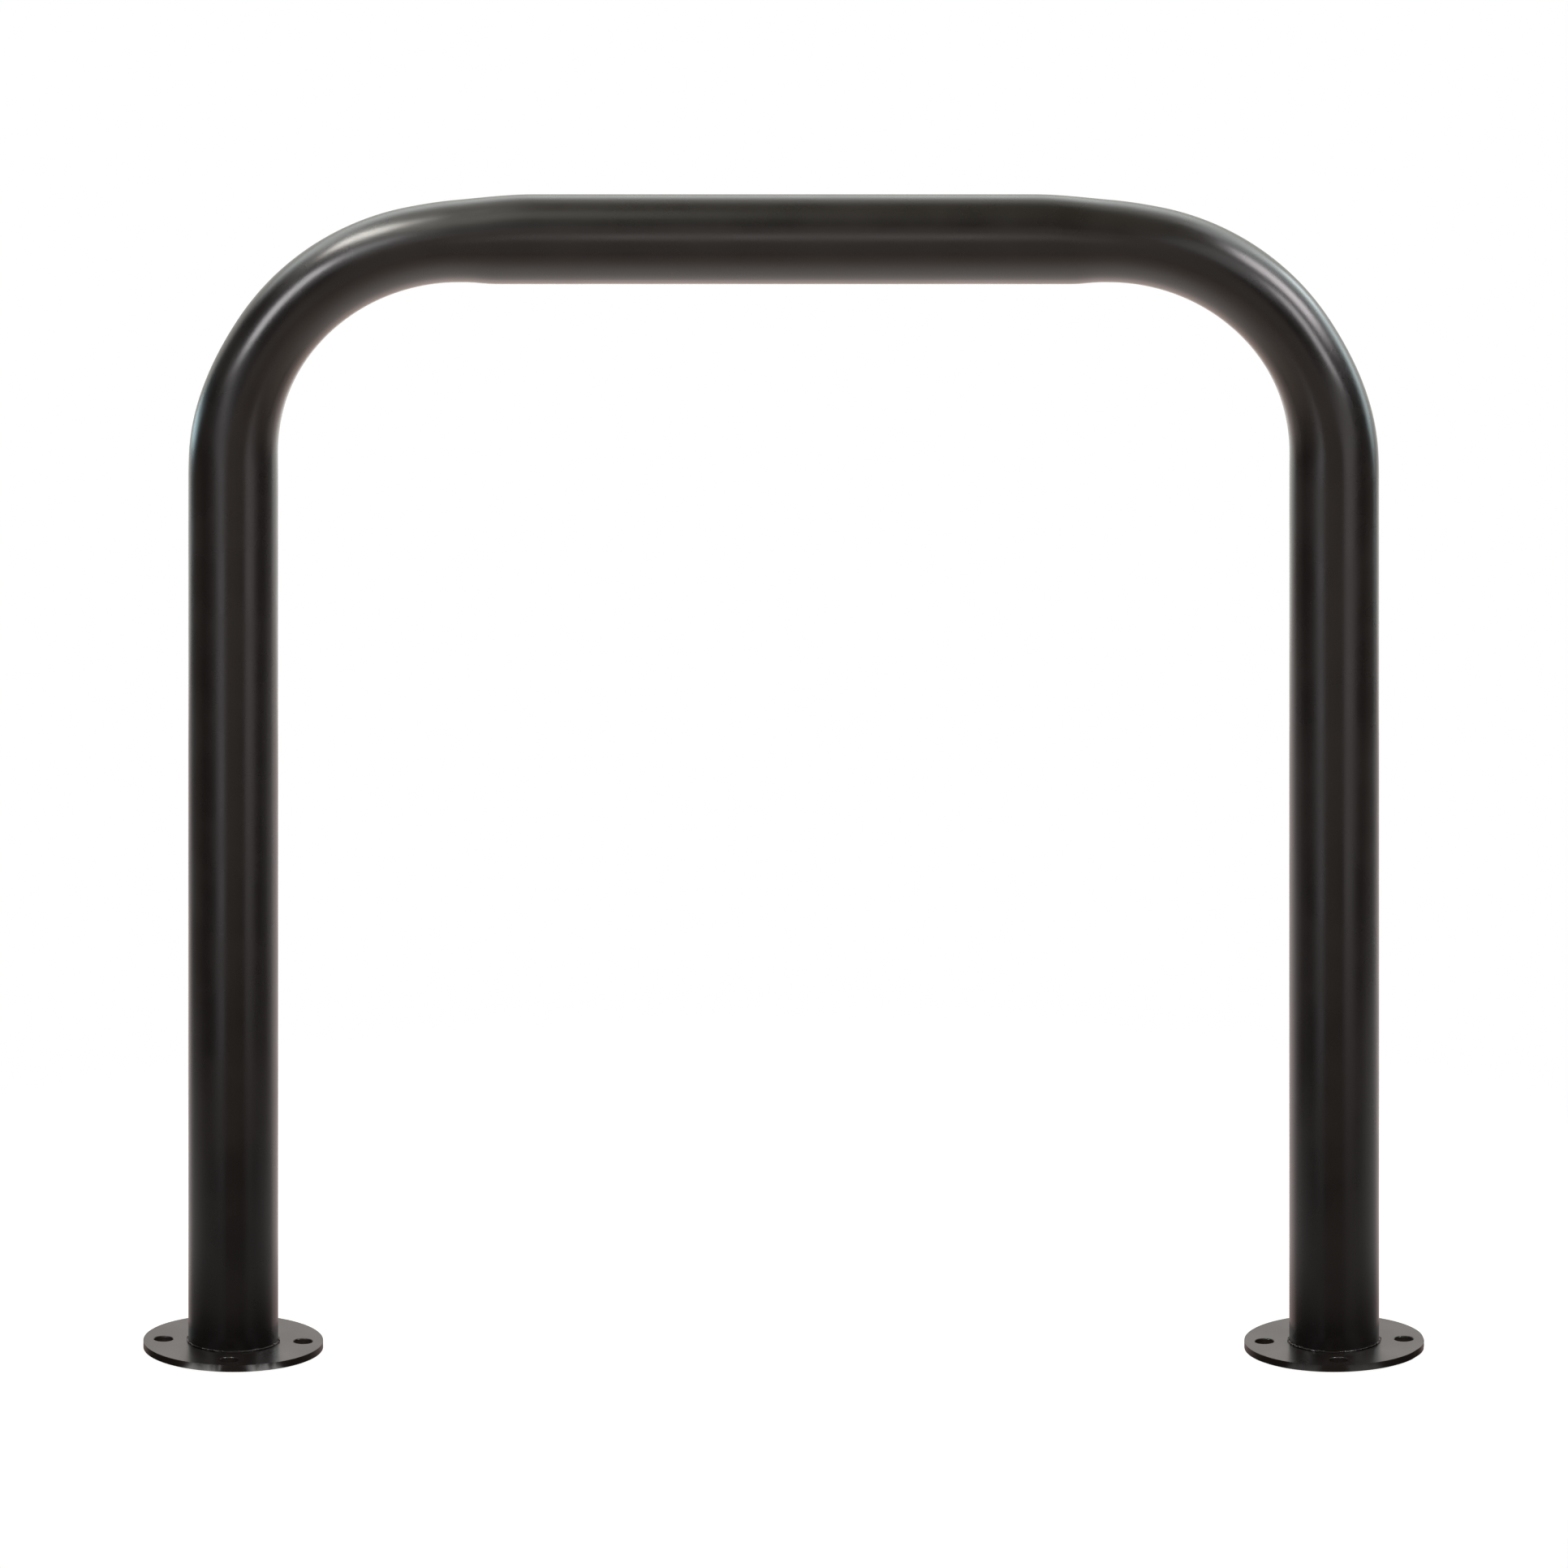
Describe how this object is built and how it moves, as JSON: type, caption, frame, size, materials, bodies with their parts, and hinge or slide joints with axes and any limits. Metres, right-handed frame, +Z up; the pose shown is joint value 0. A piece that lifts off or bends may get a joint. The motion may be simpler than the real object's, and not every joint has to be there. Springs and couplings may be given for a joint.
{
  "type": "hoop bike rack",
  "caption": "Bicycle rack for leaning and locking: a round pipe bent into an upside-down U and welded to round floor flanges with anchor holes.",
  "frame": {"origin": "on the floor under the flanges, midway between the two legs", "axes": "+X along the rail towards the right leg, +Y across the hoop away from the pictured side, +Z up"},
  "size_m": [0.8586, 0.1206, 0.804],
  "materials": {
    "pipe_coat": "satin dark bronze powder coat with a fine orange peel",
    "flange_coat": "satin dark bronze powder coat on flat plate",
    "weld_coat": "satin dark bronze powder coat over a rippled weld"
  },
  "bodies": {
    "root": {"hoop_pipe": "pipe_coat", "left_flange": "flange_coat", "right_flange": "flange_coat", "left_weld_bead": "weld_coat", "right_weld_bead": "weld_coat"}
  },
  "joints": []
}
